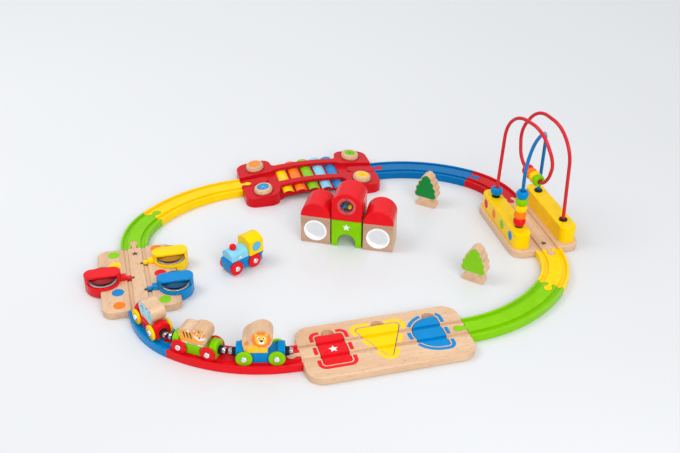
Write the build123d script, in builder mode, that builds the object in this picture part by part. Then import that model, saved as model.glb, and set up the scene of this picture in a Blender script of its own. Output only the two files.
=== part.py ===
"""Wooden train set: a track loop with four activity plates, a train, a station and trees.

Units are millimetres. +Z is up and z = 0 is the floor. The layout is drawn about the centre of
the loop, with +X along the puzzle plate and +Y towards the xylophone bridge, and every piece is
shifted so that the origin is the middle of the whole set's footprint.
"""
from build123d import *
from math import atan, cos, degrees, pi, radians, sin, sqrt, tan
import os

os.makedirs("parts", exist_ok=True)

# ---- track ------------------------------------------------------------------
TRACK_W = 40.0          # width of a track piece
TRACK_H = 12.0          # height of a track piece
GAUGE = 13.0            # groove centre to track centreline
GROOVE_W = 6.8
GROOVE_D = 3.0
R_LONG = 218.0          # centreline radius of the long curves
R_SHORT = 118.5         # centreline radius of the short curves
CURVE = 45.0            # degrees turned by every curve
LONG_SIDE = 230.0       # joint to joint, puzzle plate and xylophone bridge
SHORT_SIDE = 155.0      # joint to joint, cymbal plate and bead-maze base
SEAM = 0.15             # half the gap at a joint between two pieces
EASE = 0.8              # rounding of the track edges
PEG_NECK = 6.6
PEG_R = 6.0
PEG_REACH = 11.6        # joint face to the centre of the peg's head
PEG_PLAY = 0.45         # room round the peg in its socket

# ---- loop layout --------------------------------------------------------------
DIAG = sin(radians(CURVE))
X0 = LONG_SIDE / 2 + DIAG * R_LONG + (1 - DIAG) * R_SHORT
Y0 = SHORT_SIDE / 2 + (1 - DIAG) * R_LONG + DIAG * R_SHORT
PUZZLE_W = 106.0
SIDE_W = 110.0          # width of the cymbal plate and of the maze base
BRIDGE_HALF = 60.0      # half width of the xylophone's end blocks
ARM_CENTRE = 49.9       # track centreline to the middle of a cymbal housing
ARM_L = 52.0
SHIFT_X = (ARM_CENTRE + ARM_L / 2 - SIDE_W / 2) / 2
SHIFT_Y = (PUZZLE_W / 2 - BRIDGE_HALF) / 2
CLEAR = 0.3             # usual gap between loose pieces
FIT = 0.05              # hairline between two pieces glued or pressed together


def spot(x, y, z=0.0, turn=0.0):
    """A level plane at a point of the loop layout, its x axis turned by an angle."""
    return Plane(
        origin=(x + SHIFT_X, y + SHIFT_Y, z),
        x_dir=(cos(radians(turn)), sin(radians(turn)), 0),
        z_dir=(0, 0, 1),
    )


def side_of(frame, offset=0.0, up=0.0):
    """An upright plane with the frame's x across and z up, facing the frame's -y."""
    return Plane(
        origin=frame.origin + frame.y_dir * offset + frame.z_dir * up,
        x_dir=frame.x_dir,
        z_dir=-frame.y_dir,
    )


def end_of(frame, offset=0.0, up=0.0):
    """An upright plane with the frame's y across and z up, facing the frame's +x."""
    return Plane(
        origin=frame.origin + frame.x_dir * offset + frame.z_dir * up,
        x_dir=frame.y_dir,
        z_dir=frame.x_dir,
    )


def save(piece, label):
    piece.part.label = label
    export_step(piece.part, f"parts/{label}.step")


def peg(x, y, turn):
    """Sketch the round-headed peg that leaves a joint face at (x, y)."""
    with Locations(Location((x, y, 0), (0, 0, turn))):
        with Locations((PEG_REACH / 2, 0)):
            Rectangle(PEG_REACH + 2 * SEAM, PEG_NECK)
        with Locations((PEG_REACH, 0)):
            Circle(PEG_R)


def socket(x, y, turn):
    """Sketch the socket that enters a joint face at (x, y), heading along turn."""
    neck = PEG_NECK / 2 + PEG_PLAY
    with Locations(Location((x, y, 0), (0, 0, turn))):
        with Locations((PEG_REACH / 2 - 1, 0)):
            Rectangle(PEG_REACH + 2, 2 * neck)
        with Locations((PEG_REACH, 0)):
            Circle(PEG_R + PEG_PLAY)
        Polygon(
            (-2, -neck - 4), (-2, neck + 4), (0, neck + 2), (2.6, neck), (2.6, -neck), (0, -neck - 2),
            align=None)


def curved_track(label, cx, cy, radius, start):
    """A 45 degree track. Its peg is at the start angle and its socket at the far end."""
    trim = degrees(SEAM / radius)
    floor = spot(cx, cy, 0, start)
    section = spot(cx, cy, 0, start + trim)
    with BuildPart() as track:
        with BuildSketch(side_of(section)):
            with Locations((radius, TRACK_H / 2)):
                Rectangle(TRACK_W, TRACK_H)
            fillet(vertices(), EASE)
            with Locations((radius - GAUGE, TRACK_H), (radius + GAUGE, TRACK_H)):
                Rectangle(GROOVE_W, 2 * GROOVE_D, mode=Mode.SUBTRACT)
        revolve(axis=Axis(floor.origin, (0, 0, 1)), revolution_arc=CURVE - 2 * trim)
        with BuildSketch(floor):
            peg(radius, 0, -90)
        extrude(amount=TRACK_H)
        with BuildSketch(floor):
            turn = radians(CURVE)
            socket(radius * cos(turn), radius * sin(turn), CURVE - 90)
        extrude(amount=TRACK_H, mode=Mode.SUBTRACT)
    print(label, "volume", round(track.part.volume))
    save(track, label)


LONG_Y = Y0 - R_LONG
SHORT_X = X0 - R_SHORT
curved_track("track_long_red", -LONG_SIDE / 2, -LONG_Y, R_LONG, -135)
curved_track("track_short_blue", -SHORT_X, -SHORT_SIDE / 2, R_SHORT, -180)
curved_track("track_short_green", -SHORT_X, SHORT_SIDE / 2, R_SHORT, 135)
curved_track("track_long_yellow", -LONG_SIDE / 2, LONG_Y, R_LONG, 90)
curved_track("track_long_blue", LONG_SIDE / 2, LONG_Y, R_LONG, 45)
curved_track("track_short_red", SHORT_X, SHORT_SIDE / 2, R_SHORT, 0)
curved_track("track_short_yellow", SHORT_X, -SHORT_SIDE / 2, R_SHORT, -45)
curved_track("track_long_green", LONG_SIDE / 2, -LONG_Y, R_LONG, -90)


def groove_pair(frame, length):
    """Cut the two wheel grooves along the frame's x axis, down from the frame's level."""
    with BuildSketch(frame) as grooves:
        with Locations((0, -GAUGE), (0, GAUGE)):
            Rectangle(length, GROOVE_W)
    extrude(grooves.sketch, amount=-GROOVE_D, mode=Mode.SUBTRACT)


def board(frame, length, width, corner):
    """The body of a flat wooden plate, a peg at its +x end and a socket at its -x end."""
    with BuildSketch(frame) as plan:
        RectangleRounded(length - 2 * SEAM, width, corner)
    body = extrude(plan.sketch, amount=TRACK_H)
    fillet(body.edges().group_by(Axis.Z)[-1] + body.edges().group_by(Axis.Z)[0], 1.4)
    groove_pair(frame.offset(TRACK_H), length)
    with BuildSketch(frame) as tongue:
        peg(length / 2, 0, 0)
    extrude(tongue.sketch, amount=TRACK_H)
    with BuildSketch(frame) as mouth:
        socket(-length / 2, 0, 0)
    extrude(mouth.sketch, amount=TRACK_H, mode=Mode.SUBTRACT)


# ---- puzzle plate and its three lift-out shapes ---------------------------------
POCKET_FLOOR = 3.0
INSERT_CLEAR = 0.8
NOTCH_R = 9.0
NOTCH_FLOOR = 5.0
PUZZLE = spot(0, -Y0, 0, 180)       # its peg points to -X
SHAPES = spot(0, -Y0)


def rectangle_outline():
    with Locations((-70.2, 0.4)):
        RectangleRounded(37.5, 59.5, 4.0)


def triangle_outline():
    with BuildLine() as edge:
        FilletPolyline((-34.5, 33), (31, 33), (-0.8, -38), radius=5.0, close=True)
    make_face(edge.edges())


def half_round_outline():
    with BuildLine() as edge:
        TangentArc((72, 33.2), (72, -29.4), tangent=(-1, 0))
        FilletPolyline((72, -29.4), (82.5, -29.4), (82.5, 33.2), (72, 33.2), radius=4.0)
    make_face(edge.edges())


INSERTS = {
    "puzzle_rectangle": (rectangle_outline, (-70.2, 31.5)),
    "puzzle_triangle": (triangle_outline, (-0.5, 33.2)),
    "puzzle_half_round": (half_round_outline, (72, 33.5)),
}

with BuildPart() as puzzle_plate:
    board(PUZZLE, LONG_SIDE, PUZZLE_W, 22.0)
    for outline, notch in INSERTS.values():
        with BuildSketch(SHAPES.offset(POCKET_FLOOR)):
            outline()
            offset(amount=INSERT_CLEAR)
        extrude(amount=TRACK_H, mode=Mode.SUBTRACT)
        with BuildSketch(SHAPES.offset(NOTCH_FLOOR)):
            with Locations(notch):
                Circle(NOTCH_R)
        extrude(amount=TRACK_H, mode=Mode.SUBTRACT)
save(puzzle_plate, "puzzle_plate")

for label, (outline, notch) in INSERTS.items():
    with BuildPart() as insert:
        with BuildSketch(SHAPES.offset(POCKET_FLOOR + CLEAR / 2)):
            outline()
        extrude(amount=TRACK_H - POCKET_FLOOR - CLEAR / 2)
        fillet(insert.edges().group_by(Axis.Z)[-1], 0.9)
        groove_pair(SHAPES.offset(TRACK_H), LONG_SIDE)
    save(insert, label)

# ---- cymbal plate ---------------------------------------------------------------
PIVOT_X = 20.0          # track centreline to a lever's pivot
PIVOT_Z = 9.0
PIN_R = 1.5
PIN_PLAY = 0.06
PIN_L = 18.0
TRENCH_W = 11.0
TRENCH_FLOOR = 5.0
KNUCKLE_W = 10.0
BAR_W = 5.6
BAR_LOW = 10.4
BAR_HIGH = 14.8
BAR_TIP = 9.4
SLOT_W = 6.8
SLOT_END = 8.4
SLOT_FLOOR = 6.0
ARMS = {
    "yellow": spot(-X0, 33.6),
    "blue": spot(-X0, -33.6),
    "red": spot(-X0, 0, 0, 180),
}

with BuildPart() as cymbal_plate:
    board(spot(-X0, 0, 0, 90), SHORT_SIDE, SIDE_W, 14.0)
    for arm in ARMS.values():
        with BuildSketch(arm.offset(TRENCH_FLOOR)):
            with Locations((PIVOT_X, 0)):
                Rectangle(11, TRENCH_W)
        extrude(amount=TRACK_H, mode=Mode.SUBTRACT)
        with BuildSketch(arm.offset(SLOT_FLOOR)):
            with Locations(((SLOT_END + PIVOT_X) / 2, 0)):
                SlotOverall(PIVOT_X - SLOT_END + SLOT_W, SLOT_W)
        extrude(amount=TRACK_H, mode=Mode.SUBTRACT)
        with BuildSketch(side_of(arm, up=PIVOT_Z)):
            with Locations((PIVOT_X, 0)):
                Circle(PIN_R)
        extrude(amount=PIN_L / 2, both=True, mode=Mode.SUBTRACT)
save(cymbal_plate, "cymbal_plate")

with BuildPart() as cymbal_pivot_pins:
    for arm in ARMS.values():
        with BuildSketch(side_of(arm, up=PIVOT_Z)):
            with Locations((PIVOT_X, 0)):
                Circle(PIN_R)
        extrude(amount=PIN_L / 2 - 0.1, both=True)
save(cymbal_pivot_pins, "cymbal_pivot_pins")

# ---- cymbal levers: a clam-shaped housing, a knuckle and a bar across the groove -------
ARM_W = 22.0
LIP_R = 25.0
LIP_TOP = 16.6
ROOF_BOTTOM = 25.0
ARM_TOP = 28.6
CUP_R = 22.4
CUP_FLOOR = 13.8
ARM_BASE = TRACK_H + CLEAR
SKIRT_BASE = 1.6
SKIRT_START = SIDE_W / 2 + 0.7
POST_R = 2.0


def clam_plan():
    with Locations((ARM_CENTRE, 0)):
        Circle(LIP_R)
        SlotOverall(ARM_L, ARM_W)


def cymbal_arm(arm, label):
    with BuildPart() as lever:
        with BuildSketch(arm.offset(ARM_BASE)):
            clam_plan()
        extrude(amount=LIP_TOP - ARM_BASE)
        with BuildSketch(arm.offset(LIP_TOP - 1.5)):
            with Locations((ARM_CENTRE, 0)):
                SlotOverall(ARM_L, ARM_W)
        extrude(amount=ARM_TOP - LIP_TOP + 1.5)
        fillet(lever.edges().group_by(Axis.Z)[-1], 1.2)
        with BuildSketch(arm.offset(SKIRT_BASE)):
            clam_plan()
            with Locations((SKIRT_START - 50, 0)):
                Rectangle(100, 100, mode=Mode.SUBTRACT)
        extrude(amount=ARM_BASE - SKIRT_BASE)
        with BuildSketch(arm.offset(CUP_FLOOR)):
            with Locations((ARM_CENTRE, 0)):
                Circle(CUP_R)
                Circle(POST_R, mode=Mode.SUBTRACT)
        extrude(amount=ROOF_BOTTOM - CUP_FLOOR, mode=Mode.SUBTRACT)
        with BuildSketch(side_of(arm)):
            with BuildLine():
                FilletPolyline(
                    (PIVOT_X - 3, PIVOT_Z - 3), (PIVOT_X + 3, PIVOT_Z - 3), (PIVOT_X + 3, ARM_BASE),
                    (ARM_CENTRE - ARM_L / 2 + 3, ARM_BASE), (ARM_CENTRE - ARM_L / 2 + 3, 17.5),
                    (PIVOT_X - 3, 17.5), radius=0.7, close=True)
            make_face()
        extrude(amount=KNUCKLE_W / 2, both=True)
        with BuildSketch(arm.offset(BAR_LOW)):
            with Locations(((BAR_TIP + PIVOT_X) / 2, 0)):
                RectangleRounded(PIVOT_X - BAR_TIP, BAR_W, 1.6)
        bar = extrude(amount=BAR_HIGH - BAR_LOW)
        fillet(bar.edges().group_by(Axis.Z)[-1]
               .filter_by(lambda e: (e.center() - arm.origin).dot(arm.x_dir) < PIVOT_X - 3.5), 1.0)
        with BuildSketch(side_of(arm, up=PIVOT_Z)):
            with Locations((PIVOT_X, 0)):
                Circle(PIN_R + PIN_PLAY)
        extrude(amount=KNUCKLE_W, both=True, mode=Mode.SUBTRACT)
    save(lever, label)


CYMBAL_R = 21.0
CYMBAL_T = 0.8
CYMBAL_HOLE = POST_R + 0.5
CYMBAL_DISH = 1.9
DISH_R = 12.5           # flat middle of a disc
RIM_R = 17.8            # where its flat rim starts


def cymbal_pair(arm, label):
    """Two dished metal discs, one cupped upwards and one downwards, loose on the post."""
    with BuildPart() as discs:
        for level, way in ((CUP_FLOOR + 0.5, 1), (ROOF_BOTTOM - 0.5, -1)):
            with BuildSketch(side_of(arm)):
                with BuildLine():
                    low, high = level, level + way * CYMBAL_DISH
                    thick = way * CYMBAL_T
                    Polyline(
                        (ARM_CENTRE + CYMBAL_HOLE, low), (ARM_CENTRE + DISH_R, low),
                        (ARM_CENTRE + RIM_R, high - way * 0.3), (ARM_CENTRE + CYMBAL_R, high),
                        (ARM_CENTRE + CYMBAL_R, high + thick), (ARM_CENTRE + RIM_R, high - way * 0.3 + thick),
                        (ARM_CENTRE + DISH_R, low + thick), (ARM_CENTRE + CYMBAL_HOLE, low + thick), close=True)
                make_face()
            centre = arm.origin + arm.x_dir * ARM_CENTRE
            revolve(axis=Axis((centre.X, centre.Y, 0), (0, 0, 1)))
    save(discs, label)


for colour, arm in ARMS.items():
    cymbal_arm(arm, f"cymbal_arm_{colour}")
    cymbal_pair(arm, f"cymbal_discs_{colour}")

# ---- bead maze -----------------------------------------------------------------
MAZE = spot(X0, 0)
BLOCK_X = 37.5
BLOCK_W = 27.0
BLOCK_L = 140.0
BLOCK_TOP = 38.5
FOOT_X = 36.8
FOOT_Y = 45.3
WIRE_R = 2.7
FERRULE_R = 6.5
FERRULE_H = 2.6
WIRE_FOOT = BLOCK_TOP + CLEAR

with BuildPart() as maze_base:
    board(spot(X0, 0, 0, -90), SHORT_SIDE, SIDE_W, 18.0)
save(maze_base, "maze_base")

with BuildPart() as maze_blocks:
    for side in (-BLOCK_X, BLOCK_X):
        with BuildSketch(MAZE.offset(TRACK_H)):
            with Locations((side, 0)):
                RectangleRounded(BLOCK_W, BLOCK_L, 11.0)
        block = extrude(amount=BLOCK_TOP - TRACK_H)
        fillet(block.edges().group_by(Axis.Z)[-1], 2.0)
    # black plastic ferrules where the wires leave the blocks
    with BuildSketch(MAZE.offset(BLOCK_TOP + FIT)):
        with GridLocations(2 * FOOT_X, 2 * FOOT_Y, 2, 2):
            Circle(FERRULE_R)
    collars = extrude(amount=FERRULE_H)
    fillet(collars.edges().group_by(Axis.Z)[-1], 1.2)
    with BuildSketch(MAZE.offset(BLOCK_TOP + FIT)):
        with GridLocations(2 * FOOT_X, 2 * FOOT_Y, 2, 2):
            Circle(WIRE_R + 0.6)
    extrude(amount=2 * FERRULE_H, mode=Mode.SUBTRACT)
save(maze_blocks, "maze_blocks")

# Half of each wire's route about the maze's centre. The other half is the same, turned 180
# degrees about the upright axis.
RED_HALF = [
    (-FOOT_X, FOOT_Y, WIRE_FOOT), (-27.5, 54.0, 160.0), (-23.5, 23.0, 190.0), (-12.0, -34.0, 192.5),
    (1.0, -57.0, 148.0), (5.0, -40.5, 113.5), (1.6, -29.5, 97.2),
]
BLUE_HALF = [(-FOOT_X, -FOOT_Y, WIRE_FOOT), (-38.8, -47.5, 142.5), (-12.0, -13.0, 159.0)]
BEND = 0.47             # how far a bend's arc reaches along the shorter of its two runs


def route_of(half):
    """All the points of a wire's route and the largest radius that fits at each bend."""
    points = [Vector(*p) for p in half] + [Vector(-x, -y, z) for x, y, z in reversed(half)]
    radii = []
    for before, here, after in zip(points, points[1:], points[2:]):
        turn = (here - before).get_angle(after - here)
        radii.append(BEND * min((here - before).length, (after - here).length) / tan(radians(turn / 2)))
    return points, radii


def bent_wire(half, label):
    points, radii = route_of(half)
    print(label, "bend radii", [round(r, 1) for r in radii])
    placed = [MAZE.origin + p for p in points]
    with BuildPart() as wire:
        with BuildLine():
            path = FilletPolyline(*placed, radius=radii)
        with BuildSketch(Plane(origin=path @ 0, z_dir=path % 0)):
            Circle(WIRE_R)
        sweep(path=path)
    print(label, "volume", round(wire.part.volume), "of", round(pi * WIRE_R**2 * path.length))
    save(wire, label)


bent_wire(RED_HALF, "maze_wire_red")
bent_wire(BLUE_HALF, "maze_wire_blue")

BEAD_R = 9.5
BEAD_HOLE = 3.7
BEAD_END_R = 7.2        # outer radius at a bead's two ends


def bead_row(start, heading, count, length, label):
    """A row of round beads from a start point along a wire's straight run."""
    heading = Vector(*heading).normalized()
    across = Vector(0, 0, 1).cross(heading) if abs(heading.Z) < 0.9 else Vector(1, 0, 0)
    with BuildPart() as beads:
        for i in range(count):
            centre = MAZE.origin + Vector(*start) + heading * (length * (i + 0.5))
            flat = Plane(origin=centre, x_dir=across.cross(heading), z_dir=across)
            with BuildSketch(Plane(origin=centre, x_dir=flat.x_dir, z_dir=heading.cross(flat.x_dir))):
                with BuildLine():
                    end = length / 2 - CLEAR / 2
                    Polyline((BEAD_END_R, end), (BEAD_HOLE, end), (BEAD_HOLE, -end), (BEAD_END_R, -end))
                    ThreePointArc((BEAD_END_R, -end), (BEAD_R, 0), (BEAD_END_R, end))
                make_face()
                fillet(vertices(), 1.2)
            revolve(axis=Axis(centre, heading))
    save(beads, label)


RED_LEG = (RED_HALF[1][0] + FOOT_X, RED_HALF[1][1] - FOOT_Y, RED_HALF[1][2] - WIRE_FOOT)
BLUE_LEG = (BLUE_HALF[1][0] + FOOT_X, BLUE_HALF[1][1] + FOOT_Y, BLUE_HALF[1][2] - WIRE_FOOT)
BEAD_L = 12.0
LOOP_BEAD_L = 11.2
ABOVE_FERRULE = FERRULE_H + CLEAR


def up_leg(foot, leg, rise):
    """The point on a wire's leg that is a given height above its block."""
    return tuple(f + l * rise / leg[2] for f, l in zip(foot, leg))


bead_row(up_leg(RED_HALF[0], RED_LEG, ABOVE_FERRULE + 0.8), RED_LEG, 1, BEAD_L, "maze_bead_single")
bead_row(up_leg(BLUE_HALF[0], BLUE_LEG, ABOVE_FERRULE), BLUE_LEG, 5, BEAD_L, "maze_beads_stack")
LOOP_HEADING = Vector(-RED_HALF[-1][0], -RED_HALF[-1][1], 0).normalized()
LOOP_START = Vector(0, 0, RED_HALF[-1][2]) - LOOP_HEADING * (2 * LOOP_BEAD_L)
bead_row(tuple(LOOP_START), tuple(LOOP_HEADING), 4, LOOP_BEAD_L, "maze_beads_loop")

# ---- xylophone bridge ------------------------------------------------------------
BRIDGE = spot(0, Y0)
HALF = LONG_SIDE / 2
END_TOP = 15.0          # height of the frame's top at its two ends
BROW_X = 52.0           # where the ramp meets the arch, and the window's half length
BROW_TOP = 22.0
CROWN_TOP = 25.0
CHANNEL_D = 6.0         # frame top down to the wheel channel's floor
TONGUE_X = 79.0         # rounded end of the centre tongue
TONGUE_D = 3.0
WINDOW_Y = 20.5
RAIL_OUT = 33.0
RAIL_T = 4.6
LUG_IN = 57.0           # inner edge of the end blocks
LUG_R = 17.0
NECK_R = 9.0
DECK_Y = 45.0
DECK_END = 12.4         # height of the deck under the keys, at the window's ends
DECK_CROWN = 14.6
DECK_ARCH = 9.5         # underside of the deck at mid span
RAMP = (BROW_TOP - END_TOP) / (HALF - BROW_X)
EDGE = HALF - SEAM

KNOB_X = 84.0
KNOB_Y = 39.3
KNOB_R = 15.2
KNOB_H = 9.4
KNOB_SINK = 1.5         # depth of the round recess a knob turns in
KNOB_TILT = degrees(atan(RAMP))
KNOBS = {"red": (-1, 1), "blue": (-1, -1), "green": (1, 1), "yellow": (1, -1)}
AXLE_R = 2.5
AXLE_PLAY = 0.06


def knob_seat(way_x, way_y):
    """The plane of a knob's seat, square to the ramp it sits on."""
    seat = spot(way_x * KNOB_X, Y0 + way_y * KNOB_Y, BROW_TOP - RAMP * (KNOB_X - BROW_X))
    lean = radians(KNOB_TILT) * way_x
    return Plane(origin=seat.origin, x_dir=(cos(lean), 0, -sin(lean)), z_dir=(sin(lean), 0, cos(lean)))


def top_line(drop, reach):
    """Close the area under the frame's top line, lowered by drop, out to a half length."""
    edge_z = BROW_TOP - RAMP * (reach - BROW_X) - drop
    with BuildLine() as edge:
        Line((-reach, edge_z), (-BROW_X, BROW_TOP - drop))
        ThreePointArc((-BROW_X, BROW_TOP - drop), (0, CROWN_TOP - drop), (BROW_X, BROW_TOP - drop))
        Line((BROW_X, BROW_TOP - drop), (reach, edge_z))
        Polyline((reach, edge_z), (reach, -40), (-reach, -40), (-reach, edge_z))
    make_face(edge.edges())


def bridge_prism(drop, reach, half_width, mode):
    """Material, or an overlap, below the frame's top line."""
    with BuildSketch(side_of(BRIDGE)) as face:
        top_line(drop, reach)
    extrude(face.sketch, amount=half_width, both=True, mode=mode)


with BuildPart() as under_top:
    bridge_prism(0, HALF + 40, BRIDGE_HALF + 10, Mode.ADD)

with BuildPart() as above_channel:
    with BuildSketch(BRIDGE):
        Rectangle(2 * HALF + 60, 2 * (GAUGE + GROOVE_W / 2))
        RectangleRounded(2 * BROW_X + 14, 2 * WINDOW_Y, 5.0)
    extrude(amount=60)
    bridge_prism(CHANNEL_D, HALF + 40, BRIDGE_HALF, Mode.SUBTRACT)

with BuildPart() as tongues:
    with BuildSketch(BRIDGE):
        for way in (-1, 1):
            with Locations((way * (HALF + TONGUE_X) / 2, 0)):
                Rectangle(HALF - TONGUE_X, 2 * GAUGE - GROOVE_W)
            with Locations((way * TONGUE_X, 0)):
                Circle(GAUGE - GROOVE_W / 2)
        Rectangle(2 * EDGE, 200, mode=Mode.INTERSECT)
    extrude(amount=60)
    bridge_prism(TONGUE_D, HALF + 40, BRIDGE_HALF, Mode.INTERSECT)


KEY_PITCH = 21.5
KEY_W = 17.4
KEY_RISE = 3.0
KEY_T = 1.2
KEY_FAR = (44.5, 47.0, 48.5, 49.5, 51.0)          # from the centreline to each key's back end
KEY_NEAR = (47.5, 50.0, 51.5, 52.5, 54.0)
KEY_CRESTS = (17.7, 19.2, 19.8, 19.2, 17.7)
POST_Y = 27.0


def deck_profile(reach):
    """The deck's side view: level underside, arched over the keys' span."""
    with BuildLine() as edge:
        Polyline((-BROW_X, DECK_END), (-reach, DECK_END), (-reach, 0), (-BROW_X, 0), (-BROW_X, 4))
        ThreePointArc((-BROW_X, 4), (0, DECK_ARCH), (BROW_X, 4))
        Polyline((BROW_X, 4), (BROW_X, 0), (reach, 0), (reach, DECK_END), (BROW_X, DECK_END))
        ThreePointArc((BROW_X, DECK_END), (0, DECK_CROWN), (-BROW_X, DECK_END))
    make_face(edge.edges())


with BuildPart() as xylophone_frame:
    with BuildSketch(BRIDGE):
        for way in (-1, 1):
            with Locations((way * (LUG_IN + EDGE) / 2, 0)):
                RectangleRounded(EDGE - LUG_IN, 2 * BRIDGE_HALF, LUG_R)
        Rectangle(2 * LUG_IN + 1, 2 * RAIL_OUT)
        necks = [v for v in vertices() if abs(abs(v.X) - LUG_IN) < 1 and abs(abs(v.Y) - RAIL_OUT) < 1]
        fillet(necks, NECK_R)
    extrude(amount=60)
    add(under_top.part, mode=Mode.INTERSECT)
    # the space below the rails, open at both sides
    with BuildSketch(side_of(BRIDGE)):
        with BuildLine():
            ThreePointArc((-BROW_X, BROW_TOP - RAIL_T), (0, CROWN_TOP - RAIL_T), (BROW_X, BROW_TOP - RAIL_T))
            Polyline((BROW_X, BROW_TOP - RAIL_T), (BROW_X, -1), (-BROW_X, -1), (-BROW_X, BROW_TOP - RAIL_T))
        make_face()
    extrude(amount=2 * BRIDGE_HALF, both=True, mode=Mode.SUBTRACT)
    with BuildSketch(BRIDGE):
        RectangleRounded(2 * BROW_X, 2 * WINDOW_Y, 3.0)
    extrude(amount=60, mode=Mode.SUBTRACT)
    add(above_channel.part, mode=Mode.SUBTRACT)
    add(tongues.part)
    with BuildSketch(side_of(BRIDGE)):
        deck_profile(LUG_IN + 2)
    extrude(amount=DECK_Y, both=True)
    for i, crest in enumerate(KEY_CRESTS):
        with BuildSketch(BRIDGE.offset(DECK_END)):
            with Locations(((i - 2) * KEY_PITCH, -POST_Y), ((i - 2) * KEY_PITCH, POST_Y)):
                Circle(1.6)
        extrude(amount=crest - KEY_T - 2 * CLEAR - DECK_END)
    with BuildSketch(BRIDGE):
        peg(HALF, 0, 0)
    extrude(amount=TRACK_H)
    with BuildSketch(BRIDGE):
        socket(-HALF, 0, 0)
    extrude(amount=60, mode=Mode.SUBTRACT)
    for way_x, way_y in KNOBS.values():
        seat = knob_seat(way_x, way_y)
        with BuildSketch(seat.offset(-KNOB_SINK)):
            Circle(KNOB_R + 1.0)
        extrude(amount=20, mode=Mode.SUBTRACT)
        with BuildSketch(seat):
            Circle(AXLE_R + AXLE_PLAY)
        extrude(amount=-10, mode=Mode.SUBTRACT)
save(xylophone_frame, "xylophone_frame")

with BuildPart() as xylophone_keys:
    for i, (crest, far, near) in enumerate(zip(KEY_CRESTS, KEY_FAR, KEY_NEAR)):
        middle = (i - 2) * KEY_PITCH
        with BuildSketch(side_of(BRIDGE, far)):
            with BuildLine():
                left, right = middle - KEY_W / 2, middle + KEY_W / 2
                foot = crest - KEY_RISE
                ThreePointArc((left, foot), (middle, crest), (right, foot))
                Line((right, foot), (right, foot - KEY_T))
                ThreePointArc((right, foot - KEY_T), (middle, crest - KEY_T), (left, foot - KEY_T))
                Line((left, foot - KEY_T), (left, foot))
            make_face()
        extrude(amount=far + near)
save(xylophone_keys, "xylophone_keys")

for colour, (way_x, way_y) in KNOBS.items():
    seat = knob_seat(way_x, way_y)
    with BuildPart() as knob:
        with BuildSketch(Plane(origin=seat.origin, x_dir=seat.x_dir, z_dir=-seat.y_dir)):
            with BuildLine():
                low = CLEAR - KNOB_SINK
                top = KNOB_H - KNOB_SINK
                Polyline((0, low - 7), (AXLE_R, low - 7), (AXLE_R, low), (KNOB_R - 1.6, low))
                ThreePointArc((KNOB_R - 1.6, low), (KNOB_R, low + 2.8), (KNOB_R - 0.7, low + 6.0))
                ThreePointArc((KNOB_R - 0.7, low + 6.0), (KNOB_R - 1.6, top - 0.7), (KNOB_R - 3.4, top))
                Polyline((KNOB_R - 3.4, top), (0, top), (0, low - 7))
            make_face()
        revolve(axis=Axis(seat.origin, seat.z_dir))
    save(knob, f"xylophone_knob_{colour}")

# ---- station: two mirror blocks, an arch, a rattle and two roofs ------------------------
CUBE = 46.4
STACK = 0.2             # gap between stacked blocks
ROUND = 1.0
ARRIS = 0.8             # bevel on the end edges of arched blocks
LEFT = spot(-30.7, 41.6, 0, -27.8)
MIDDLE = spot(12.2, 18.4, 0, -26.5)
RIGHT = spot(55.9, -4.2, 0, -24.8)
MIRROR_Z = 22.8
RING_R = 18.0
MIRROR_R = 15.0
MIRROR_IN = 3.4         # how far the mirror sits behind the block's face
RECESS = 5.0


def front_disc(frame, radius, height, near, far, mode=Mode.ADD, hole=0.0):
    """A disc or ring across the frame's y axis, from near to far behind the front face."""
    with BuildSketch(side_of(frame, far, height)) as disc:
        Circle(radius)
        if hole:
            Circle(hole, mode=Mode.SUBTRACT)
    extrude(disc.sketch, amount=far - near, mode=mode)


def cube_plan():
    with Locations((0, CUBE / 2)):
        Rectangle(CUBE, CUBE)


for frame, name in ((LEFT, "left"), (RIGHT, "right")):
    with BuildPart() as block:
        with BuildSketch(frame):
            cube_plan()
        extrude(amount=CUBE)
        fillet(block.edges(), ROUND)
        front_disc(frame, RING_R + FIT, MIRROR_Z, -1, RECESS, Mode.SUBTRACT)
        front_disc(frame, RING_R, MIRROR_Z, -0.6, RECESS - FIT, hole=MIRROR_R)
        front_disc(frame, MIRROR_R - FIT, MIRROR_Z, MIRROR_IN, RECESS - FIT)
    save(block, f"station_block_{name}")

ARCH_HALF = 14.5
ARCH_SPRING = 8.4
with BuildPart() as station_arch:
    with BuildSketch(MIDDLE):
        cube_plan()
    extrude(amount=CUBE)
    fillet(station_arch.edges(), ROUND)
    with BuildSketch(side_of(MIDDLE, CUBE / 2)):
        with Locations((0, ARCH_SPRING / 2 - 2)):
            Rectangle(2 * ARCH_HALF, ARCH_SPRING + 4)
        with Locations((0, ARCH_SPRING)):
            Circle(ARCH_HALF)
    extrude(amount=CUBE, both=True, mode=Mode.SUBTRACT)
save(station_arch, "station_arch")


def arched_block(frame, base, shoulder, apex):
    """A block with upright sides to its shoulder and one arc over the top."""
    half = CUBE / 2
    with BuildSketch(side_of(frame)) as face:
        with BuildLine() as edge:
            Polyline((-half, shoulder), (-half, base), (half, base), (half, shoulder))
            ThreePointArc((half, shoulder), (0, apex), (-half, shoulder))
        make_face(edge.edges())
    body = extrude(face.sketch, amount=-CUBE)
    ends = body.faces().filter_by(lambda f: abs(f.normal_at().dot(frame.y_dir)) > 0.99)
    chamfer(ends.edges(), ARRIS)


ROOF_H = 23.5
ROOF_SIDE = 3.2
for frame, name in ((LEFT, "left"), (RIGHT, "right")):
    with BuildPart() as roof:
        base = CUBE + STACK
        arched_block(frame, base, base + ROOF_SIDE, base + ROOF_H)
    save(roof, f"station_roof_{name}")

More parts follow.
